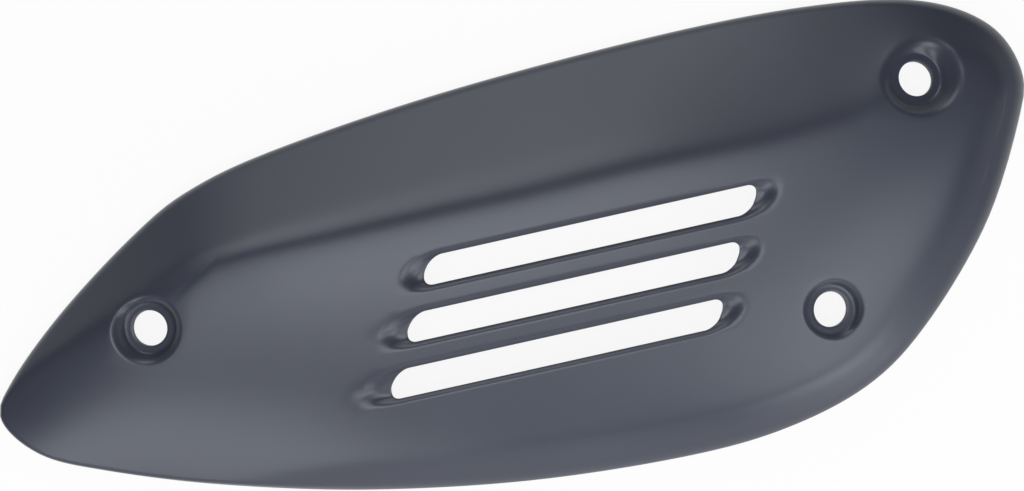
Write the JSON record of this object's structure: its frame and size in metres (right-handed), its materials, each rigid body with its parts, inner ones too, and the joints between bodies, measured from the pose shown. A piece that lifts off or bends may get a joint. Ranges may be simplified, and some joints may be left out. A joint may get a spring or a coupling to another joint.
{
  "type": "exhaust heat shield",
  "caption": "Domed pressed sheet shield for an exhaust silencer, narrow at one end, with parallel vent slots in pressed troughs and recessed screw holes.",
  "frame": {"origin": "middle of the rim's outer box, in the plane that the rim lies in", "axes": "+X along the slots towards the broad end, +Y across the slots towards the steep side wall, +Z outwards, away from the exhaust"},
  "size_m": [0.3017, 0.118, 0.0248],
  "materials": {
    "coated_sheet": "fine matt heat-resistant coat on pressed steel sheet"
  },
  "bodies": {
    "root": {"heat_shield": "coated_sheet"}
  },
  "joints": []
}
